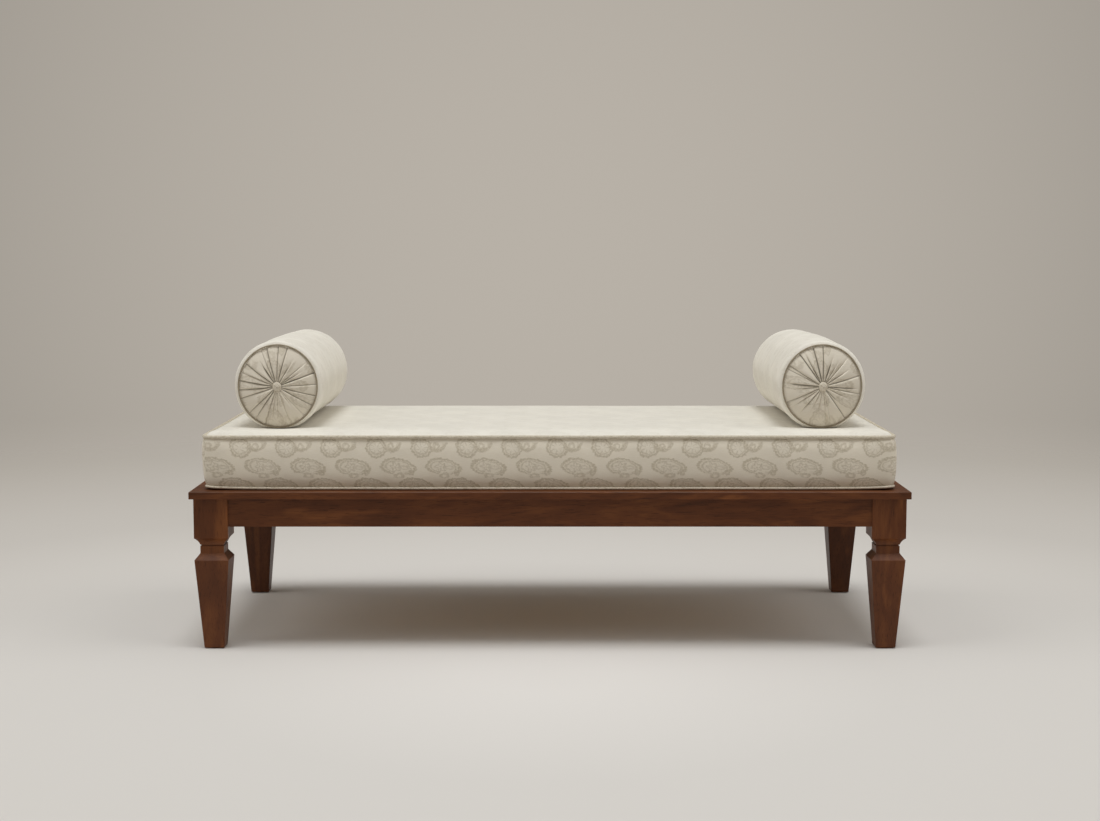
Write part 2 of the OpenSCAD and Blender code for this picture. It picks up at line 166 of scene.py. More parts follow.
class Graph:
    """A material with one Principled shader, whose inputs are set by name."""

    def __init__(self, name):
        self.material = bpy.data.materials.new(name)
        self.material.use_nodes = True
        self.tree = self.material.node_tree
        self.tree.nodes.clear()
        self.shader = self.tree.nodes.new("ShaderNodeBsdfPrincipled")
        output = self.tree.nodes.new("ShaderNodeOutputMaterial")
        self.tree.links.new(self.shader.outputs[0], output.inputs["Surface"])

    def connect(self, socket, value):
        if isinstance(value, Value):
            self.tree.links.new(value.socket, socket)
        else:
            socket.default_value = value

    def node(self, kind, inputs, output=0, **settings):
        made = self.tree.nodes.new(kind)
        for name, setting in settings.items():
            setattr(made, name, setting)
        for name, value in inputs.items():
            self.connect(made.inputs[name], value)
        return Value(self, made.outputs[output])

    def math(self, operation, *values):
        return self.node("ShaderNodeMath", dict(enumerate(values)), operation=operation)

    def finish(self, **inputs):
        for name, value in inputs.items():
            self.connect(self.shader.inputs[name.replace("_", " ")], value)
        return self.material

    def coordinates(self, source, scale=(1, 1, 1)):
        place = self.node("ShaderNodeTexCoord", {}, source)
        return self.node("ShaderNodeMapping", {"Vector": place, "Scale": scale})

    def split(self, vector):
        made = self.node("ShaderNodeSeparateXYZ", {"Vector": vector})
        outputs = made.socket.node.outputs
        return [Value(self, outputs[i]) for i in range(3)]

    def noise(self, vector, scale=1.0, detail=3.0, roughness=0.5, distortion=0.0):
        inputs = {
            "Vector": vector,
            "Scale": scale,
            "Detail": detail,
            "Roughness": roughness,
            "Distortion": distortion,
        }
        return self.node("ShaderNodeTexNoise", inputs, "Fac")

    def ramp(self, factor, stops):
        made = self.tree.nodes.new("ShaderNodeValToRGB")
        elements = made.color_ramp.elements
        while len(elements) < len(stops):
            elements.new(0.5)
        for element, (place, colour) in zip(elements, stops):
            element.position = place
            element.color = (*colour, 1)
        self.connect(made.inputs[0], factor)
        return Value(self, made.outputs[0])

    def smooth(self, value, low, high):
        """0 below low, 1 above high, and a soft step between them."""
        inputs = {"Value": value, "From Min": low, "From Max": high}
        return self.node("ShaderNodeMapRange", inputs, interpolation_type="SMOOTHSTEP")

    def mix(self, factor, a, b):
        made = self.tree.nodes.new("ShaderNodeMix")
        made.data_type = "RGBA"
        for name, value in (("Factor_Float", factor), ("A_Color", a), ("B_Color", b)):
            socket = next(s for s in made.inputs if s.identifier == name)
            if isinstance(value, tuple):
                value = (*value, 1)
            self.connect(socket, value)
        return Value(self, next(s for s in made.outputs if s.identifier == "Result_Color"))

    def bump(self, height, strength, distance):
        inputs = {"Height": height, "Strength": strength, "Distance": distance}
        return self.node("ShaderNodeBump", inputs, "Normal")


def line(g, value, at, width):
    """1 along the line where value is at, and 0 further than width from it."""
    return 1 - g.smooth(abs(value - at), width * 0.35, width)


def length2(g, x, y):
    return g.math("SQRT", x * x + y * y)


# ---- Jacquard ----


def fan_motif(g, x, y):
    """The wide paisley: a beaded double arch over a flower, a bud hanging under it, and its
    right end curled down. Its outlines and its filling."""
    tilted = y + x * 0.10 - 0.001
    lower = 1 - g.smooth(tilted, -0.004, 0.004)
    half_h = 0.0250 - lower * 0.0055
    across, up = x / 0.048, tilted / half_h
    reach = length2(g, across + up * up * 0.10, up)
    turn = g.math("ARCTAN2", up, across)
    scallop = abs(g.math("SINE", turn * 12)) * 0.06
    gap = lower * line(g, x - 0.003, 0.0, 0.022)
    rim = line(g, reach + scallop, 0.98, 0.14) * (1 - gap)
    inner = line(g, reach, 0.72, 0.09) * (1 - gap)
    rosette = length2(g, x + 0.008, tilted - 0.001)
    petals = g.math("COSINE", g.math("ARCTAN2", tilted - 0.001, x + 0.008) * 5) * 0.0035
    flower = line(g, rosette + petals, 0.0100, 0.0042)
    heart = line(g, rosette, 0.0, 0.0040)
    leaf_x, leaf_y = (x - 0.016) / 0.0135, (tilted - 0.002) / 0.0060
    leaf = line(g, length2(g, leaf_x, leaf_y), 0.8, 0.4)
    bud_x, bud_y = (x - 0.002) / 0.0135, (y + 0.0220) / 0.0085
    bud = line(g, length2(g, bud_x, bud_y), 0.75, 0.5)
    curl = line(g, length2(g, x - 0.036, y + 0.0135), 0.0058, 0.0038)
    filling = 1 - g.smooth(reach, 0.60, 1.02)
    outlines = rim + inner * 0.7 + flower * 0.6 + heart * 0.6 + leaf * 0.5 + bud * 0.8 + curl * 0.85
    return outlines, filling


def comma_motif(g, x, y):
    """The round paisley: a beaded double oval with fanned petals, and a tail that sweeps
    right and up round a small curl."""
    body_x, body_y = (x + 0.021) / 0.029, y / 0.0270
    reach = length2(g, body_x + body_y * body_y * 0.12, body_y + body_x * 0.12)
    turn = g.math("ARCTAN2", body_y, body_x)
    rim = line(g, reach + abs(g.math("SINE", turn * 8)) * 0.08, 0.98, 0.155)
    inner = line(g, reach, 0.68, 0.12)
    petals = line(g, abs(g.math("SINE", turn * 3.5)), 0.1, 0.32) * line(g, reach, 0.40, 0.32)
    below = 1 - g.smooth(y, 0.012, 0.020)
    right = g.smooth(x, -0.006, 0.004)
    tail = line(g, length2(g, x - 0.021, y - 0.016), 0.024, 0.0062) * below * right
    under = line(g, length2(g, x - 0.021, y - 0.010), 0.0165, 0.0040) * below * right
    curl = line(g, length2(g, x - 0.019, y - 0.004), 0.0070, 0.0046)
    filling = 1 - g.smooth(reach, 0.60, 1.02)
    return rim + inner * 0.65 + petals * 0.6 + tail * 0.85 + under * 0.5 + curl * 0.75, filling


def jacquard_figure(g, u, v):
    """Where the figure is woven: its outlines, and its filling, from 0 to 1."""
    cloth_place = g.node("ShaderNodeCombineXYZ", {"X": u, "Y": v})
    drawing_x = g.noise(cloth_place, scale=62, detail=3) - 0.5
    drawing_y = g.noise(cloth_place, scale=70, detail=3) - 0.5
    u, v = u + drawing_x * WOBBLE, v + drawing_y * WOBBLE
    across, up = u - MOTIF_START_U, (v - MOTIF_START_V) / MOTIF_ROW
    row = g.math("FLOOR", up)
    kind = g.math("FLOORED_MODULO", row, 3.0)
    y = (up - row - 0.5) * MOTIF_ROW
    shifted = across - kind * (MOTIF_COLUMN * 0.5) - (kind - 1) * MOTIF_STAGGER
    x = g.math("WRAP", shifted, MOTIF_COLUMN / 2, -MOTIF_COLUMN / 2)
    is_comma = g.smooth(kind, 1.4, 1.6)
    fan, fan_fill = fan_motif(g, x, y)
    comma, comma_fill = comma_motif(g, x - MOTIF_STAGGER, y)
    outlines = g.math("MINIMUM", fan + (comma - fan) * is_comma, 1.0)
    filling = g.math("MINIMUM", fan_fill + (comma_fill - fan_fill) * is_comma, 1.0)
    stitches = g.smooth(g.noise(cloth_place, scale=150, detail=2, roughness=0.6), 0.52, 0.60)
    return g.math("MINIMUM", outlines + filling * stitches * 0.22, 1.0), filling


def cloth(name, base, dark, light, figure=1.0, weave=0.0011, bias=0.0, painted_crease_shade=0.0):
    """Woven cloth on a piece's own cloth coordinates, in metres. figure is the jacquard's
    strength, weave the size of a thread, and bias turns the weave, as on a piping. folded is
    how much painted shade darkens the cloth deep in its pleats, where shade falls."""
    g = Graph(name)
    place = g.node("ShaderNodeUVMap", {}, uv_map="Cloth")
    u, v, _ = g.split(place)
    cos, sin = math.cos(bias), math.sin(bias)
    warp, weft = u * cos - v * sin, u * sin + v * cos
    vector = g.node("ShaderNodeCombineXYZ", {"X": u, "Y": v})
    cloud = g.noise(vector, scale=9, detail=3)
    slub = g.noise(g.node("ShaderNodeVectorMath", {0: vector, 1: (60, 900, 1)}, operation="MULTIPLY"))
    speckle = g.noise(vector, scale=420, detail=2)
    rate = math.pi / weave
    threads = g.math("SINE", warp * rate) * g.math("SINE", weft * rate)
    colour = g.mix(g.smooth(cloud, 0.3, 0.7), base, tuple(c * 0.93 for c in base))
    colour = g.mix(g.smooth(slub, 0.35, 0.75) * 0.35, colour, light)
    height = threads * 0.5 + slub * 0.6
    if figure:
        outlines, filling = jacquard_figure(g, u, v)
        grain = g.noise(vector, scale=210, detail=2, roughness=0.7)
        broken = g.smooth(grain, 0.34, 0.60)
        dark_amount = (outlines * (0.45 + broken * 0.55) + filling * 0.07) * figure
        light_amount = filling * g.smooth(speckle, 0.52, 0.66) * figure
        colour = g.mix(light_amount * 0.75, colour, light)
        colour = g.mix(g.math("MINIMUM", dark_amount, 1.0), colour, dark)
        height = height + outlines * 1.4 + filling * speckle * 1.2
    else:
        flecks = g.noise(vector, scale=170, detail=2)
        colour = g.mix(g.smooth(speckle, 0.4, 0.7) * 0.4, colour, dark)
        colour = g.mix(g.smooth(flecks, 0.48, 0.66) * 0.55, colour, dark)
    # Painted shade: deep in the pleats the cloth is darkened, standing in for the shade in the creases
    if painted_crease_shade:
        deep = g.node("ShaderNodeAttribute", {}, "Fac", attribute_name="Fold")
        colour = g.mix(g.smooth(deep, 0.30, 0.90) * painted_crease_shade, colour, tuple(c * 0.3 for c in dark))
    return g.finish(
        Base_Color=colour,
        Roughness=0.72 + slub * 0.16,
        Specular_IOR_Level=0.3,
        Sheen_Weight=0.25,
        Sheen_Roughness=0.45,
        Sheen_Tint=(1.0, 0.96, 0.88, 1),
        Normal=g.bump(height, 0.28, 0.0006),
    )


# ---- Wood, metal and plastic ----

GRAIN_TURN = {"X": (0, 0, 0), "Y": (0, 0, -math.pi / 2), "Z": (0, math.pi / 2, 0)}


def wood(name, grain, seed, shades, roughness, contrast=1.0):
    """Wood whose grain runs along one axis. shades go from the darkest fibre to the palest."""
    g = Graph(name)
    place = g.node("ShaderNodeTexCoord", {}, "Object")
    drift = random.Random(seed)
    move = tuple(drift.uniform(-3, 3) for _ in range(3))
    turned = g.node(
        "ShaderNodeMapping", {"Vector": place, "Rotation": GRAIN_TURN[grain], "Location": move}
    )

    def stretched(along, across):
        scale = (along, across, across)
        return g.node("ShaderNodeVectorMath", {0: turned, 1: scale}, operation="MULTIPLY")

    swirl = g.noise(stretched(2.2, 9), detail=3, distortion=1.2)
    streaks = g.noise(stretched(2.4, 34), detail=4, roughness=0.60, distortion=0.5)
    patch = g.noise(stretched(5, 15), detail=2)
    rings = g.math("SINE", swirl * 26.0 + streaks * 5.0)
    fibre = g.noise(stretched(9, 420), detail=3, roughness=0.6)
    pores = g.smooth(g.noise(stretched(34, 760), detail=1), 0.60, 0.70)
    figure = swirl * 0.38 + streaks * 0.24 + patch * 0.28 + rings * (0.05 * contrast) + fibre * 0.10
    dark, mid, pale = shades
    colour = g.ramp(figure, [(0.30, dark), (0.50, mid), (0.72, pale)])
    colour = g.mix(pores * 0.55, colour, tuple(c * 0.35 for c in dark))
    height = fibre * 0.35 - pores * 0.6 + streaks * 0.3
    return g.finish(
        Base_Color=colour,
        Roughness=roughness + fibre * 0.12 + pores * 0.15,
        Specular_IOR_Level=0.26,
        Normal=g.bump(height, 0.16, 0.0004),
    )


def metal(name, colour, roughness):
    """Plated steel with fine brushing and a few darker scuffs."""
    g = Graph(name)
    place = g.coordinates("Object", scale=(60, 60, 900))
    brushing = g.noise(place, scale=2.0, detail=2)
    scuffs = g.noise(g.coordinates("Object"), scale=160, detail=4)
    shade = g.mix(g.smooth(scuffs, 0.5, 0.75) * 0.5, colour, tuple(c * 0.55 for c in colour))
    return g.finish(
        Base_Color=shade,
        Metallic=1.0,
        Roughness=roughness + brushing * 0.2,
        Normal=g.bump(brushing, 0.1, 0.0002),
    )


def nylon(name, colour):
    """Moulded plastic with a fine grained skin."""
    g = Graph(name)
    skin = g.noise(g.coordinates("Object"), scale=900, detail=2)
    shade = g.mix(skin, colour, tuple(c * 1.6 for c in colour))
    return g.finish(Base_Color=shade, Roughness=0.5 + skin * 0.2, Normal=g.bump(skin, 0.15, 0.0003))


WALNUT = ((0.044, 0.0125, 0.0036), (0.118, 0.0355, 0.0098), (0.235, 0.080, 0.0215))
# Painted shade: a copy of the walnut 28% darker, for the rear legs, standing in for the shade under the
# bed
PAINTED_SHADE_WALNUT = tuple(tuple(0.72 * c for c in shade) for shade in WALNUT)
PINE = ((0.42, 0.24, 0.11), (0.60, 0.40, 0.20), (0.72, 0.52, 0.30))


def paint(node, material):
    NODES[node].data.materials.clear()
    NODES[node].data.materials.append(material)


def grain_of(node):
    low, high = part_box(node)
    size = high - low
    return "XYZ"[max(range(3), key=lambda i: size[i])]


def paint_frame():
    slots = {s["node"]: s["material_slot"] for s in frame["record"]["subparts"]}
    steel = metal("zinc_plated_steel", (0.52, 0.52, 0.54), 0.28)
    zip_steel = metal("zip_nickel", (0.56, 0.54, 0.50), 0.22)
    black_nylon = nylon("glide_nylon", (0.02, 0.018, 0.017))
    for seed, (node, slot) in enumerate(slots.items()):
        if slot == "walnut":
            # Painted shade: the rear legs wear the darker walnut copy
            shades = PAINTED_SHADE_WALNUT if node.startswith("leg_rear") else WALNUT
            paint(node, wood(f"walnut_{node}", grain_of(node), seed, shades, 0.38))
        elif slot == "pine":
            paint(node, wood(f"pine_{node}", grain_of(node), seed, PINE, 0.6, contrast=1.6))
        elif slot == "zinc_steel":
            paint(node, steel)
        elif slot == "zip_metal":
            paint(node, zip_steel)
        elif slot == "glide_nylon":
            paint(node, black_nylon)


# ---- Meshes ----


class Patchwork:
    """Collects points and faces, with each face's cloth coordinates in metres."""

    def __init__(self):
        self.points, self.faces, self.cloth, self.materials = [], [], [], []

    def point(self, place):
        self.points.append(Vector(place))
        return len(self.points) - 1

    def row(self, places):
        return [self.point(p) for p in places]

    def skin(self, rows, uv, closed=False, material=0):
        """Quads between rows of points. uv gives the cloth coordinates of a column and a row;
        a closed skin joins its last column to its first."""
        columns = len(rows[0])
        for j in range(len(rows) - 1):
            for i in range(columns if closed else columns - 1):
                k = (i + 1) % columns
                self.faces.append((rows[j][i], rows[j][k], rows[j + 1][k], rows[j + 1][i]))
                self.cloth.append((uv(i, j), uv(i + 1, j), uv(i + 1, j + 1), uv(i, j + 1)))
                self.materials.append(material)

    def build(self, name, *materials, levels=0):
        mesh = bpy.data.meshes.new(name)
        mesh.from_pydata([tuple(p) for p in self.points], [], self.faces)
        layer = mesh.uv_layers.new(name="Cloth")
        for face, corners in zip(mesh.polygons, self.cloth):
            for loop, place in zip(face.loop_indices, corners):
                layer.data[loop].uv = place
        mesh.polygons.foreach_set("use_smooth", [True] * len(mesh.polygons))
        for material in materials:
            mesh.materials.append(material)
        if len(materials) > 1:
            mesh.polygons.foreach_set("material_index", self.materials)
        piece = bpy.data.objects.new(name, mesh)
        SCENE.collection.objects.link(piece)
        face_outwards(mesh)
        if levels:
            subdivide(piece, levels)
        return piece


def subdivide(piece, levels=1):
    subdivision = piece.modifiers.new("Subdivision", "SUBSURF")
    subdivision.levels = subdivision.render_levels = levels


def face_outwards(mesh):
    bm = bmesh.new()
    bm.from_mesh(mesh)
    bmesh.ops.recalc_face_normals(bm, faces=bm.faces)
    bm.to_mesh(mesh)
    bm.free()


def places_of(mesh):
    flat = np.empty(len(mesh.vertices) * 3)
    mesh.vertices.foreach_get("co", flat)
    return flat.reshape(-1, 3)


def inflate(piece, pinned, slack):
    """Blows the piece up as cloth, its pinned points held, and returns the swollen
    places."""
    group = piece.vertex_groups.new(name="held")
    group.add(list(pinned), 1.0, "REPLACE")
    cloth_modifier = piece.modifiers.new("Cloth", "CLOTH")
    settings = cloth_modifier.settings
    settings.quality = 5
    settings.mass = 0.25
    settings.tension_stiffness = settings.compression_stiffness = 18
    settings.shear_stiffness = 6
    settings.bending_stiffness = 0.4
    settings.vertex_group_mass = group.name
    settings.use_pressure = True
    settings.uniform_pressure_force = CUSHION_PRESSURE
    settings.shrink_min = -slack
    settings.effector_weights.gravity = 0
    cloth_modifier.collision_settings.use_collision = False
    cloth_modifier.point_cache.frame_start = 1
    cloth_modifier.point_cache.frame_end = SIM_FRAMES
    for number in range(1, SIM_FRAMES + 1):
        SCENE.frame_set(number)
    swollen = piece.evaluated_get(bpy.context.evaluated_depsgraph_get())
    result = places_of(swollen.to_mesh())
    swollen.to_mesh_clear()
    piece.modifiers.remove(cloth_modifier)
    piece.vertex_groups.clear()
    SCENE.frame_set(1)
    return result


def set_places(piece, places):
    piece.data.vertices.foreach_set("co", np.asarray(places, float).ravel())
    piece.data.update()


def ripple(x, y, z, scale, seed=0.0):
    """Smooth noise from -1 to 1."""
    return noise.noise(Vector((x * scale + seed, y * scale - seed, z * scale + 2 * seed)))


def sweep(name, path, radius, sides, material):
    """A closed tube of cord along a ring of places."""
    work = Patchwork()
    count = len(path)
    rows = []
    for i, place in enumerate(path):
        ahead = (path[(i + 1) % count] - path[i - 1]).normalized()
        side = ahead.cross(Vector((0, 0, 1)))
        if side.length < 0.3:
            side = ahead.cross(Vector((0, 1, 0)))
        side.normalize()
        up = side.cross(ahead)
        thick = radius * (1 + 0.05 * ripple(*place, 60))
        rows.append(
            work.row(
                place + thick * (math.cos(a) * side + math.sin(a) * up)
                for a in (math.tau * k / sides for k in range(sides))
            )
        )
    step = (path[1] - path[0]).length
    rows.append(rows[0])
    work.skin(rows, lambda i, j: (j * step, i * math.tau * radius / sides), closed=True)
    return work.build(name, material)


# ---- Mattress ----


class RoundedPlan:
    """A rectangle with round corners, seen from above, round the mattress's middle."""

    def __init__(self, half_l, half_w, corner):
        self.half_l, self.half_w, self.corner = half_l, half_w, corner

    def place(self, x, y):
        """Moves a point of the sharp rectangle to its place in the rounded one."""
        core_x, core_y = self.half_l - self.corner, self.half_w - self.corner
        over_x = (abs(x) - core_x) / self.corner
        over_y = (abs(y) - core_y) / self.corner
        if over_x <= 0 or over_y <= 0:
            return x, y
        round_x = over_x * math.sqrt(1 - over_y * over_y / 2)
        round_y = over_y * math.sqrt(1 - over_x * over_x / 2)
        return (
            math.copysign(core_x + round_x * self.corner, x),
            math.copysign(core_y + round_y * self.corner, y),
        )

    def depth(self, x, y):
        """How far inside the outline a place is."""
        dx, dy = abs(x) - (self.half_l - self.corner), abs(y) - (self.half_w - self.corner)
        outside = math.hypot(max(dx, 0), max(dy, 0)) + min(max(dx, dy), 0)
        return self.corner - outside

    def outward(self, x, y):
        core = Vector((
            min(max(x, self.corner - self.half_l), self.half_l - self.corner),
            min(max(y, self.corner - self.half_w), self.half_w - self.corner),
        ))
        return (Vector((x, y)) - core).normalized()


def panel_lines(half, step):
    """Grid lines across a panel: close together by the seams, then evenly spaced."""
    by_seam = [half - d for d in (0.0, 0.004, 0.010, 0.019)]
    inner = half - 0.031
    count = round(2 * inner / step)
    middle = [-inner + 2 * inner * i / count for i in range(count + 1)]
    return [-line_at for line_at in by_seam] + middle + by_seam[::-1]


class Dent:
    """How much the bolsters' weight presses the mattress top at a place, from 0 to 1."""

    def __init__(self):
        low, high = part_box("bolster_right_barrel")
        self.middle, self.half = (low.x + high.x) / 2, high.y

    def __call__(self, x, y):
        along = 1 / (1 + math.exp((abs(y) - self.half - 0.012) / 0.02))
        return along * math.exp(-(((abs(x) - self.middle) / 0.085) ** 2))


def make_mattress(boxing_cloth, panel_cloth):
    low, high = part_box("mattress_cover")
    upper_seam, lower_seam = seam_levels()
    body = RoundedPlan(high.x + END_SPREAD, high.y, CORNER_R)
    seam = RoundedPlan(body.half_l - SEAM_INSET, high.y - SEAM_INSET, CORNER_R - SEAM_INSET)
    xs, ys = panel_lines(seam.half_l, PANEL_GRID), panel_lines(seam.half_w, PANEL_GRID)
    rest_top = high.z - 0.0002
    dent = Dent()

    def panel(work, z_at):
        return [[work.point((*seam.place(x, y), z_at(*seam.place(x, y)))) for y in ys] for x in xs]

    def top_z(x, y):
        depth = seam.depth(x, y)
        pillow = (rest_top - upper_seam - 0.0005) * (1 - math.exp(-depth / 0.0065))
        crown = CROWN * (1 - math.exp(-depth / 0.07))
        full = upper_seam + pillow + crown
        return full - max(0.0, full - rest_top) * min(1.0, 1.6 * dent(x, y))

    def bottom_z(x, y):
        corner = corner_lift(body, x, y)
        lip = (lower_seam - low.z) * (1 - math.exp(-seam.depth(x, y) / 0.014))
        return lower_seam + corner - lip * (1 - corner / CORNER_LIFT)

    def rim(grid):
        """The panel's outermost points in order, from the front left corner."""
        front = [column[0] for column in grid]
        right = grid[-1][1:]
        back = [column[-1] for column in grid[-2::-1]]
        left = grid[0][-2:0:-1]
        return front + right + back + left

    work = Patchwork()
    top, bottom = panel(work, top_z), panel(work, bottom_z)
    upper_rim, lower_rim = rim(top), rim(bottom)
    outline = [work.points[i] for i in upper_rim]
    girth = [0.0]
    for here, there in zip(outline, outline[1:] + outline[:1]):
        girth.append(girth[-1] + (there.xy - here.xy).length)
    start_u = outline[0].x

    rows, levels = [upper_rim], 14
    for k in range(1, levels):
        share = 0.5 - 0.5 * math.cos(math.pi * k / levels)
        full = math.sin(math.pi * share) ** 0.6
        ring = []
        for place in outline:
            bottom_at = lower_seam + corner_lift(body, place.x, place.y)
            z = upper_seam + (bottom_at - upper_seam) * share
            out = seam.outward(place.x, place.y)
            flat_back = max(0.0, out.y)
            swell = full * (BOXING_BULGE * (1 - flat_back) - 0.0006 * flat_back)
            side = place.xy + out * (SEAM_INSET * min(1.0, 2.2 * full) + swell)
            ring.append(work.point((side.x, side.y, z)))
        rows.append(ring)
    rows.append(lower_rim)

    def boxing_uv(i, j):
        share = 0.5 - 0.5 * math.cos(math.pi * j / levels)
        return start_u + girth[i], upper_seam + (lower_seam - upper_seam) * share

    for grid in (top, bottom):
        work.skin(grid, lambda i, j: (xs[j], ys[i]), material=1)
    work.skin(rows, boxing_uv, closed=True)
    cover = work.build("mattress_cover_soft", boxing_cloth, panel_cloth)

    held = set(upper_rim) | set(lower_rim) | {i for column in bottom for i in column}
    swollen = inflate(cover, held, slack=0.004)
    rest = places_of(cover.data)
    limit = 0.0025
    moved = rest + limit * np.tanh((swollen - rest) / limit)
    places = [Vector(p) for p in moved]
    for index, place in enumerate(places):
        if index in held:
            continue
        depth = body.depth(place.x, place.y)
        if place.z > upper_seam:
            pucker = math.exp(-max(0.0, depth - 0.006) / 0.02)
            place.z += 0.0011 * pucker * ripple(place.x, place.y, 0, 34, 3.1)
            place.z += 0.0012 * ripple(place.x, place.y, 0, 4.5, 1.7) * (1 - pucker)
            place.z = min(place.z, rest_top + (1 - min(1, 1.6 * dent(place.x, place.y))))
        elif place.z > lower_seam:
            out = body.outward(place.x, place.y)
            share = (place.z - lower_seam) / (upper_seam - lower_seam)
            near_seam = math.exp(-min(share, 1 - share) / 0.14)
            wave = 0.0010 * near_seam * ripple(place.x, place.y, place.z * 0.3, 38, 5.3)
            wave += 0.0012 * ripple(place.x, place.y, place.z, 6.0, 8.9) * (1 - near_seam)
            wave *= 1 - max(0.0, out.y)
            place.x += out.x * wave
            place.y += out.y * wave
            place.y = min(place.y, high.y - 0.0002)
    for place in places:
        share = min(1.0, max(0.0, (place.z - lower_seam) / (upper_seam - lower_seam)))
        place.x += share * top_spread(place.x, body.half_l)
    set_places(cover, places)
    subdivide(cover)
    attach(cover, "mattress")
    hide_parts("mattress_cover", "mattress_core")


def seam_levels():
    """Heights of the mattress's upper and lower piping."""
    low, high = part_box("mattress_piping")
    return high.z - PIPING_R, low.z + PIPING_R - SEAM_DROP


def top_spread(x, half_l):
    """How far the mattress's top leans out past its base, by its left end only."""
    return TOP_SPREAD * min(0.0, x / half_l) ** 9


def corner_lift(plan, x, y):
    """How far the mattress's lower edge curls up at its corners."""
    from_x, from_y = plan.half_l - abs(x), plan.half_w - abs(y)
    return CORNER_LIFT * math.exp(-math.hypot(max(from_x, 0), max(from_y, 0)) / 0.06)


def make_mattress_piping(upper_cloth, lower_cloth):
    _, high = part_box("mattress_piping")
    upper_seam, lower_seam = seam_levels()
    rings = []
    for name, z, radius, material in (
        ("upper", upper_seam, PIPING_R, upper_cloth),
        ("lower", lower_seam, LOWER_PIPING_R, lower_cloth),
    ):
        half_l = high.x - radius + END_SPREAD
        centre = RoundedPlan(half_l, high.y - radius, CORNER_R)
        path = []
        for x, y in walk_round(centre, 0.006):
            wander = 0.0004 * ripple(x, y, z, 9)
            if name == "upper":
                x += top_spread(x, half_l)
            if name == "lower":
                wander = abs(wander) + corner_lift(centre, x, y)
            path.append(Vector((x, y, z + wander)))
        rings.append(sweep(f"mattress_piping_{name}", path, radius, 12, material))
    for ring in rings:
        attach(ring, "mattress")
    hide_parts("mattress_piping")


def walk_round(plan, step):
    """Places along a rounded rectangle's outline, about step apart."""
    core_x, core_y = plan.half_l - plan.corner, plan.half_w - plan.corner
    corners = [
        (core_x, -core_y, -90),
        (core_x, core_y, 0),
        (-core_x, core_y, 90),
        (-core_x, -core_y, 180),
    ]
    places = []
    for number, (x, y, start) in enumerate(corners):
        turns = round(plan.corner * math.pi / 2 / (step * 0.6))
        for k in range(turns + 1):
            angle = math.radians(start + 90 * k / turns)
            places.append((x + plan.corner * math.cos(angle), y + plan.corner * math.sin(angle)))
        end_x, end_y = places[-1]
        next_x, next_y, next_start = corners[(number + 1) % 4]
        to_x = next_x + plan.corner * math.cos(math.radians(next_start))
        to_y = next_y + plan.corner * math.sin(math.radians(next_start))
        steps = round(math.hypot(to_x - end_x, to_y - end_y) / step)
        for k in range(1, steps):
            places.append((end_x + (to_x - end_x) * k / steps, end_y + (to_y - end_y) * k / steps))
    return places


# ---- Bolsters ----


class Bolster:
    """A bolster's axis and sizes, read from its CAD nodes. Its axis runs along Y."""

    def __init__(self, side):
        self.side = side
        self.body = f"bolster_{side}"
        low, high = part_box(f"{self.body}_barrel")
        core_low, core_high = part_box(f"{self.body}_core")
        welt_low, welt_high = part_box(f"{self.body}_welts")
        self.x = (core_low.x + core_high.x) / 2
        self.z = (core_low.z + core_high.z) / 2
        self.rest_z = low.z
        self.radius = (high.z - low.z) / 2
        self.half = high.y
        self.welt_y = (welt_high.y + self.half) / 2
        self.welt_r = WELT_R
        self.ring_r = (welt_high.z - welt_low.z + self.half - welt_high.y) / 2 - WELT_INSET
        self.outer = 1 if side == "right" else -1

    def place(self, angle, radius, y):
        """A point round the axis; the ends are squeezed a little narrower than high."""
        squeeze = END_SQUEEZE * math.exp(-max(0.0, self.half - abs(y)) / SQUEEZE_REACH)
        across = radius * (1 - squeeze) * math.cos(angle)
        return Vector((self.x + across, y, self.z + radius * math.sin(angle)))

    def own(self, piece, slot, *nodes):
        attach(piece, self.body)
        if nodes:
            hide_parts(*nodes)


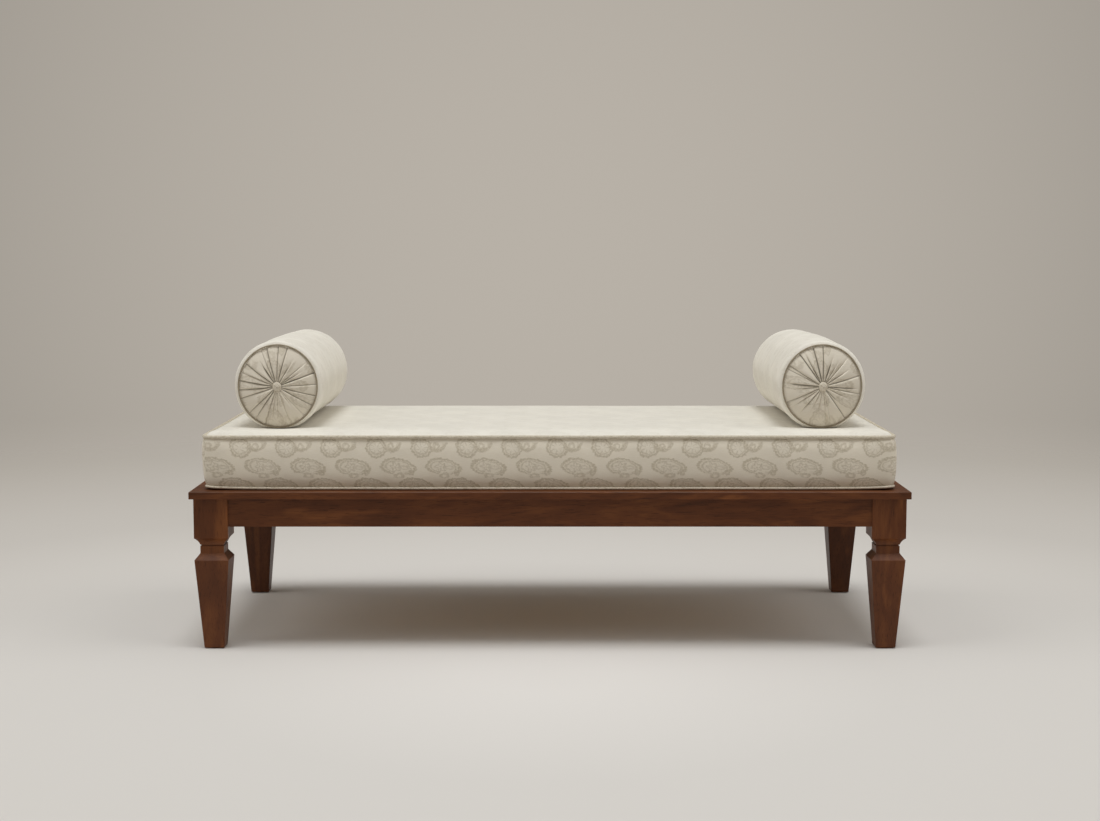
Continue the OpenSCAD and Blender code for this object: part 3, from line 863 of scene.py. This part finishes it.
def make_barrel(bolster, material):
    """The sleeve, blown up between its two welts and resting on the mattress."""
    around, along = 96, 56
    end_r = bolster.ring_r + WELT_R * 0.6
    work = Patchwork()
    rows, ys = [], []
    for j in range(along + 1):
        share = 0.5 - 0.5 * math.cos(math.pi * j / along)
        share = 0.6 * share + 0.4 * j / along
        y = bolster.half * (2 * share - 1)
        from_end = bolster.half - abs(y)
        round_up = math.sqrt(max(0.0, 1 - (1 - min(1.0, from_end / SHOULDER)) ** 2))
        puff = END_PUFF * math.exp(-(((from_end - PUFF_REACH) / PUFF_REACH) ** 2))
        radius = end_r + (bolster.radius + 0.0008 + puff - end_r) * round_up
        crown = BARREL_CROWN * math.sin(math.pi * share) ** 0.5
        ring = []
        for i in range(around):
            angle = math.tau * i / around
            fuller = crown * max(0.0, math.sin(angle)) ** 1.5
            ring.append(bolster.place(angle, radius + fuller, y))
        ys.append(y)
        rows.append(work.row(ring))
    work.skin(rows, lambda i, j: (math.tau * i / around * bolster.radius, ys[j]), closed=True)
    barrel = work.build(f"{bolster.body}_sleeve", material)
    held = rows[0] + rows[-1]
    swollen = inflate(barrel, held, slack=0.003)
    rest = places_of(barrel.data)
    limit = 0.0012
    moved = rest + limit * np.tanh((swollen - rest) / limit)
    seed = 11.0 if bolster.side == "left" else 23.0
    places = []
    for place in (Vector(p) for p in moved):
        spoke = Vector((place.x - bolster.x, 0, place.z - bolster.z))
        angle = math.atan2(spoke.z, spoke.x)
        from_end = bolster.half - abs(place.y)
        pucker = math.exp(-from_end / 0.028) * min(1.0, from_end / 0.006)
        fold = noise.noise(Vector((math.cos(angle) * 7, math.sin(angle) * 7, seed + place.y)))
        broad = noise.noise(Vector((math.cos(angle) * 1.4, math.sin(angle) * 1.4, place.y * 7 + seed)))
        change = 0.0016 * pucker * fold + 0.0014 * broad * min(1.0, from_end / 0.05)
        outward = max(0.0, bolster.outer * math.cos(angle)) ** 8
        radius = spoke.length + change * (1 - outward)
        by_zip = outward * min(1.0, max(0.0, from_end - 0.05) / 0.03)
        radius = min(radius, bolster.radius - 0.0009 * by_zip + 0.012 * (1 - by_zip))
        scale = radius / spoke.length
        place = Vector((bolster.x + spoke.x * scale, place.y, bolster.z + spoke.z * scale))
        bed = bolster.rest_z + 0.0002
        if place.z < bed + 0.004:
            place.z = bed + 0.004 * math.exp((place.z - bed - 0.004) / 0.004)
        places.append(place)
    set_places(barrel, places)
    subdivide(barrel)
    bolster.own(barrel, "cover_fabric", f"{bolster.body}_barrel", f"{bolster.body}_core")


def pleat_plan(seed):
    """Irregular creases round an end: each one's angle, depth and reach towards the welt."""
    draw = random.Random(seed)
    creases = []
    for k in range(PLEATS):
        angle = math.tau * (k + draw.uniform(-0.38, 0.38)) / PLEATS
        slack = max(0.0, -math.sin(angle)) ** 3
        strength = draw.uniform(0.66, 1.0) * (1 - 0.25 * slack)
        reach = draw.choice((0.80, 1.05, 1.30, 1.40, 1.50)) - 0.25 * slack
        creases.append((angle, strength, reach))
    return creases


def pleat_depth(angle, radius, share, creases):
    """Depth of the folds at an angle, share being 0 at the button and 1 at the welt."""
    depth = 0.0
    for crease_angle, strength, reach in creases:
        away = (angle - crease_angle + math.pi) % math.tau - math.pi
        if abs(away) > 0.6:
            continue
        fade = max(0.0, min(1.0, (reach - share) / 0.35))
        width = CREASE_W / radius * (1.0 if away > 0 else 0.5)
        fold = math.exp(-abs(away) / width)
        if away > 0:
            fold = 0.6 * fold + 0.4 * max(0.0, 1 - away / 0.24)
        depth = max(depth, strength * fade * fold)
    return depth


def make_bolster_end(bolster, end, material):
    """A gathered end: fabric drawn in pleats from the welt to the button, over a dome."""
    around, rings = 480, 36
    creases = pleat_plan(f"{bolster.side}{end}")
    outer_r = bolster.ring_r - 0.0012
    inner_r = BUTTON_R * 0.72
    work = Patchwork()
    rows, shade = [], []
    radii = [inner_r + (outer_r - inner_r) * (j / rings) ** 0.9 for j in range(rings + 1)]
    for radius in radii:
        share = (radius - inner_r) / (outer_r - inner_r)
        dome = END_DOME * (1 - share**2.8) - BUTTON_DIP * math.exp(-share / 0.16)
        deep = PLEAT_DEPTH * min(1.0, 0.35 + 2.2 * share) * (1 - 0.50 * share)
        row = []
        for i in range(around):
            angle = math.tau * i / around
            folds = pleat_depth(angle, radius, share, creases)
            shade.append(folds)
            swell = 0.0011 * ripple(math.cos(angle), math.sin(angle), share, 2.2, end * 5.0)
            out = dome - deep * folds + swell * math.sin(math.pi * share)
            y = end * (bolster.half + 0.0015 + out)
            row.append(work.point(bolster.place(angle, radius, y)))
        rows.append(row)

    def uv(i, j):
        angle = math.tau * i / around
        gather = 0.55 + 0.45 * (radii[j] / outer_r)
        return radii[j] * math.cos(angle) / gather + 0.03, radii[j] * math.sin(angle) / gather + 0.5

    work.skin(rows, uv, closed=True)
    where = "front" if end < 0 else "back"
    panel = work.build(f"{bolster.body}_end_{where}", material, levels=1)
    # The pleats' depth, kept for the cloth's painted shade in the creases
    fold = panel.data.attributes.new("Fold", "FLOAT", "POINT")
    fold.data.foreach_set("value", shade)
    thickness = panel.modifiers.new("Cloth thickness", "SOLIDIFY")
    thickness.thickness = 0.0012
    thickness.offset = -1
    return panel


def make_button(bolster, end, material):
    """A small covered button, domed, with the cloth tucked under its edge."""
    work = Patchwork()
    profile = [(0.0, 0.0046), (0.25, 0.0045), (0.5, 0.0040), (0.75, 0.0029), (0.9, 0.0014),
               (1.0, -0.0006), (0.94, -0.0026), (0.7, -0.0036), (0.35, -0.0040)]
    around = 32
    base_y = bolster.half + END_DOME - BUTTON_DIP + 0.0026
    rows = []
    for share, height in profile:
        rows.append(work.row(
            bolster.place(
                math.tau * i / around,
                max(share, 0.03) * BUTTON_R * (1 + 0.02 * math.sin(7 * math.tau * i / around) * share),
                end * (base_y + height))
            for i in range(around)))
    work.skin(
        rows,
        lambda i, j: (profile[j][0] * BUTTON_R * math.cos(math.tau * i / around),
                      profile[j][0] * BUTTON_R * math.sin(math.tau * i / around)),
        closed=True)
    where = "front" if end < 0 else "back"
    cap = work.build(f"{bolster.body}_button_{where}", material, levels=1)
    return cap


def make_bolster(side, materials):
    bolster = Bolster(side)
    make_barrel(bolster, materials["barrel"])
    ends, buttons, welts = [], [], []
    for end in (-1, 1):
        ends.append(make_bolster_end(bolster, end, materials["bolster_end"]))
        buttons.append(make_button(bolster, end, materials["plain"]))
        ring = [
            bolster.place(math.tau * k / 160, bolster.ring_r, end * bolster.welt_y)
            for k in range(160)
        ]
        where = "front" if end < 0 else "back"
        welts.append(sweep(f"{bolster.body}_welt_{where}", ring, bolster.welt_r, 12, materials["welt"]))
    for pieces, slot, node in (
        (ends, "cover_fabric", "end_panels"),
        (buttons, "cover_fabric", "buttons"),
        (welts, "piping_fabric", "welts"),
    ):
        bolster.own(pieces[0], slot, f"{bolster.body}_{node}")
        bolster.own(pieces[1], slot)


# ---- Zips ----

TAPE_T = 0.001
TAPE_W = 0.024
COIL_PITCH = 0.0017


def make_zip(name, body, along, out, tape_material, coil_material):
    """A zip's tape and coil in place of its plain CAD node. along and out are unit axes."""
    low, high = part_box(name)
    middle = (low + high) / 2
    length = abs((high - low).dot(along))
    up = Vector((0, 0, 1))
    back = middle + out * (min((c - middle).dot(out) for c in (low, high)))
    tape = Patchwork()
    steps = round(length / 0.006)
    for side in (-1, 1):
        inner, edge = 0.0007, TAPE_W / 2
        section = [(inner, 0.0001), (inner, TAPE_T), (0.004, TAPE_T * 1.1), (edge - 0.002, TAPE_T),
                   (edge, TAPE_T * 0.8), (edge, 0.0001)]
        rows = []
        for k in range(steps + 1):
            at = back + along * (length * (k / steps - 0.5))
            wander = 0.00012 * ripple(*at, 70)
            rows.append(tape.row(at + up * side * w + out * (t + wander) for w, t in section))
        tape.skin(rows, lambda i, j: (j * length / steps, section[min(i, 5)][0]), closed=True)
    tape_piece = tape.build(f"{name}_tape", tape_material)

    coil = Patchwork()
    run = length - 0.026
    half_w, half_t, lift = 0.0029, 0.0009, TAPE_T + 0.0011
    teeth = round(run / COIL_PITCH)
    sides, bends = 5, 6
    for k in range(teeth):
        side = 1 if k % 2 else -1
        at = back + along * (run * ((k + 0.5) / teeth - 0.5))
        rows = []
        for b in range(bends + 1):
            turn = math.pi * b / bends
            centre = (
                at
                + up * side * (half_w * (0.55 * math.cos(turn) + 0.42))
                + out * (lift + half_t * math.sin(turn) * 0.8)
            )
            spin = Vector(up * side * math.cos(turn) + out * math.sin(turn)).normalized()
            rows.append(coil.row(
                centre + 0.00042 * (math.cos(a) * spin + math.sin(a) * along)
                for a in (math.tau * s / sides for s in range(sides))))
        coil.skin(rows, lambda i, j: (i * 0.001, j * 0.001), closed=True)
    for end in (-1, 1):
        at = back + along * end * (run / 2 + 0.0015) + out * lift
        coil.faces += box_faces(coil, at, along * 0.0014, up * 0.0040, out * 0.0013)
    coil_piece = coil.build(f"{name}_coil", coil_material)
    for piece in (tape_piece, coil_piece):
        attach(piece, body)
    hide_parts(name)


def box_faces(work, middle, a, b, c):
    """Adds a small block's points and returns its faces."""
    ends = (-1, 1)
    corners = [work.point(middle + i * a + j * b + k * c) for i in ends for j in ends for k in ends]
    quads = [(0, 1, 3, 2), (4, 6, 7, 5), (0, 4, 5, 1), (2, 3, 7, 6), (0, 2, 6, 4), (1, 5, 7, 3)]
    work.cloth += [((0, 0), (0.002, 0), (0.002, 0.002), (0, 0.002))] * len(quads)
    return [tuple(corners[i] for i in quad) for quad in quads]


# ---- Room ----


def make_floor():
    """A pale floor with painted light: its colour is brightest before the daybed and darker further
    off, and it fades out into the backdrop.
    """
    g = Graph("studio_floor")
    x, y, _ = g.split(g.node("ShaderNodeTexCoord", {}, "Object"))
    from_bright = length2(g, x, y - FLOOR_PAINTED_LIGHT_Y) / FLOOR_R
    # Painted light: the floor's colour falls off with distance from its brightest place
    painted_light_falloff = g.ramp(from_bright, [(place / FLOOR_R, colour) for place, colour in FLOOR_PAINTED_FALLOFF])
    reach = length2(g, x, y) / FLOOR_R
    g.finish(
        Base_Color=painted_light_falloff,
        Roughness=0.9,
        Specular_IOR_Level=0.15,
        Alpha=1 - g.smooth(reach, *FLOOR_FADE),
    )
    work = Patchwork()
    rows = [work.row([(-FLOOR_R, y, 0), (FLOOR_R, y, 0)]) for y in (-FLOOR_R, FLOOR_R)]
    work.skin(rows, lambda i, j: (i, j))
    work.build("studio_floor", g.material)


def soft_light(name, source, strength, spread, colour):
    """Even light from far off in the direction of source, as from a large softbox."""
    light = bpy.data.lights.new(name, "SUN")
    light.energy, light.angle, light.color = strength, spread, colour
    lamp = bpy.data.objects.new(name, light)
    lamp.rotation_euler = Vector(source).to_track_quat("Z", "Y").to_euler()
    SCENE.collection.objects.link(lamp)


def make_light():
    """A soft overhead key, leaning a little from the front, in a room with a bright ceiling.
    The backdrop seen past the floor is brightest behind the daybed."""
    world = bpy.data.worlds.new("studio")
    world.use_nodes = True
    SCENE.world = world
    tree = world.node_tree
    tree.nodes.clear()

    def add(kind, inputs, **settings):
        made = tree.nodes.new(kind)
        for name, setting in settings.items():
            setattr(made, name, setting)
        for name, value in inputs.items():
            if isinstance(value, bpy.types.NodeSocket):
                tree.links.new(value, made.inputs[name])
            else:
                made.inputs[name].default_value = value
        return made.outputs

    low = add("ShaderNodeBackground", {"Color": AIR_COLOUR, "Strength": AIR_STRENGTH})
    high = add("ShaderNodeBackground", {"Color": CEILING_COLOUR, "Strength": CEILING_STRENGTH})
    towards = add("ShaderNodeTexCoord", {})["Generated"]
    up = add("ShaderNodeVectorMath", {0: towards, 1: (0, 0, 1)}, operation="DOT_PRODUCT")
    inputs = {"Value": up["Value"], "From Min": CEILING_RISE[0], "From Max": CEILING_RISE[1]}
    rise = add("ShaderNodeMapRange", inputs, interpolation_type="SMOOTHSTEP")[0]
    air = add("ShaderNodeMixShader", {0: rise, 1: low[0], 2: high[0]})
    behind = add("ShaderNodeVectorMath", {0: towards, 1: (0, 1, 0)}, operation="DOT_PRODUCT")
    inputs = {"Value": behind["Value"], "From Min": BACKDROP_EDGE, "To Min": BACKDROP_DIM}
    glow = add("ShaderNodeMapRange", inputs)[0]
    backdrop = add("ShaderNodeBackground", {"Color": BACKDROP_COLOUR, "Strength": glow})
    seen = add("ShaderNodeLightPath", {})["Is Camera Ray"]
    both = add("ShaderNodeMixShader", {0: seen, 1: air[0], 2: backdrop[0]})
    add("ShaderNodeOutputWorld", {"Surface": both[0]})

    lean = math.tan(KEY_LEAN)
    soft_light("overhead_key", (0, -lean, 1), KEY_STRENGTH, KEY_SPREAD, KEY_COLOUR)
    side_x, side_y, side_z = SIDE_FROM
    for name, x in (("left_fill", -side_x), ("right_fill", side_x)):
        soft_light(name, (x, side_y, side_z), SIDE_STRENGTH, SIDE_SPREAD, SIDE_COLOUR)


def make_camera():
    camera = bpy.data.cameras.new("camera")
    camera.sensor_fit = "HORIZONTAL"
    camera.sensor_width = SENSOR_WIDTH
    camera.lens = CAMERA_LENS
    viewer = bpy.data.objects.new("camera", camera)
    viewer.location = CAMERA_PLACE
    viewer.rotation_euler = (math.pi / 2 - CAMERA_PITCH, 0, 0)
    SCENE.collection.objects.link(viewer)
    SCENE.camera = viewer


# ---- The daybed ----

CREAM = (0.835, 0.772, 0.648)
# Painted light: the top panel's cream is lighter than the boxing's and its figure fainter, a lit copy
# of the same cloth standing in for the light and sheen on the top
PAINTED_LIGHT_CREAM_TOP = (0.868, 0.842, 0.765)
# Painted light: the sleeves' cream is lighter still, a lit copy of the same cloth standing in for the
# light on the bolsters
PAINTED_LIGHT_CREAM_BARREL = (0.960, 0.930, 0.845)
# Painted light: the ends' cream is a little lighter than the boxing's, a lit copy of the same cloth
PAINTED_LIGHT_CREAM_END = (0.860, 0.800, 0.680)
OLIVE = (0.432, 0.368, 0.255)
PALE = (0.930, 0.900, 0.820)
# The upper piping's cord is the cream cord darkened by painted shade, standing in for the shade along
# the top seam
CORD = (0.665, 0.605, 0.490)
PALE_CORD = (0.800, 0.730, 0.610)
# Painted shade: the welts' cord is dark, standing in for the shade in the grooves round the bolster
# ends
PAINTED_SHADE_CORD = (0.300, 0.250, 0.175)
BIAS = math.radians(45)

make_camera()
make_floor()
make_light()
paint_frame()

materials = {
    "cover": cloth("paisley_jacquard", CREAM, OLIVE, PALE, figure=0.62),
    # The top, sleeve and end cloths are lit copies of the boxing's cloth, with painted light
    "top": cloth("paisley_jacquard_top_painted_light", PAINTED_LIGHT_CREAM_TOP, OLIVE, PALE, figure=0.10),
    "barrel": cloth("paisley_jacquard_barrel_painted_light", PAINTED_LIGHT_CREAM_BARREL, OLIVE, PALE, figure=0.16),
    # The ends also wear painted shade deep in their pleats
    "bolster_end": cloth("paisley_jacquard_end_painted_light_and_shade", PAINTED_LIGHT_CREAM_END, OLIVE, PALE, figure=0.42, painted_crease_shade=0.8),
    "plain": cloth("plain_rep", CREAM, OLIVE, PALE, figure=0.0),
    # The upper piping wears painted shade along the top seam
    "piping": cloth("bias_piping", CORD, OLIVE, PALE, figure=0.0, bias=BIAS),
    "lower_piping": cloth("bias_piping_pale", PALE_CORD, OLIVE, PALE, figure=0.0, bias=BIAS),
    # The welts wear the dark cord, painted shade
    "welt": cloth("bias_welt_painted_shade", PAINTED_SHADE_CORD, OLIVE, CORD, figure=0.0, bias=BIAS),
    "tape": cloth("zip_tape_weave", CREAM, OLIVE, PALE, figure=0.0, weave=0.0008),
}
make_mattress(materials["cover"], materials["top"])
make_mattress_piping(materials["piping"], materials["lower_piping"])
for side in ("left", "right"):
    make_bolster(side, materials)

coil_nylon = nylon("zip_coil_nylon", (0.42, 0.36, 0.27))
X_AXIS, Y_AXIS = Vector((1, 0, 0)), Vector((0, 1, 0))
make_zip("mattress_zip", "mattress", X_AXIS, Y_AXIS, materials["tape"], coil_nylon)
make_zip("bolster_left_zip", "bolster_left", Y_AXIS, -X_AXIS, materials["tape"], coil_nylon)
make_zip("bolster_right_zip", "bolster_right", Y_AXIS, X_AXIS, materials["tape"], coil_nylon)
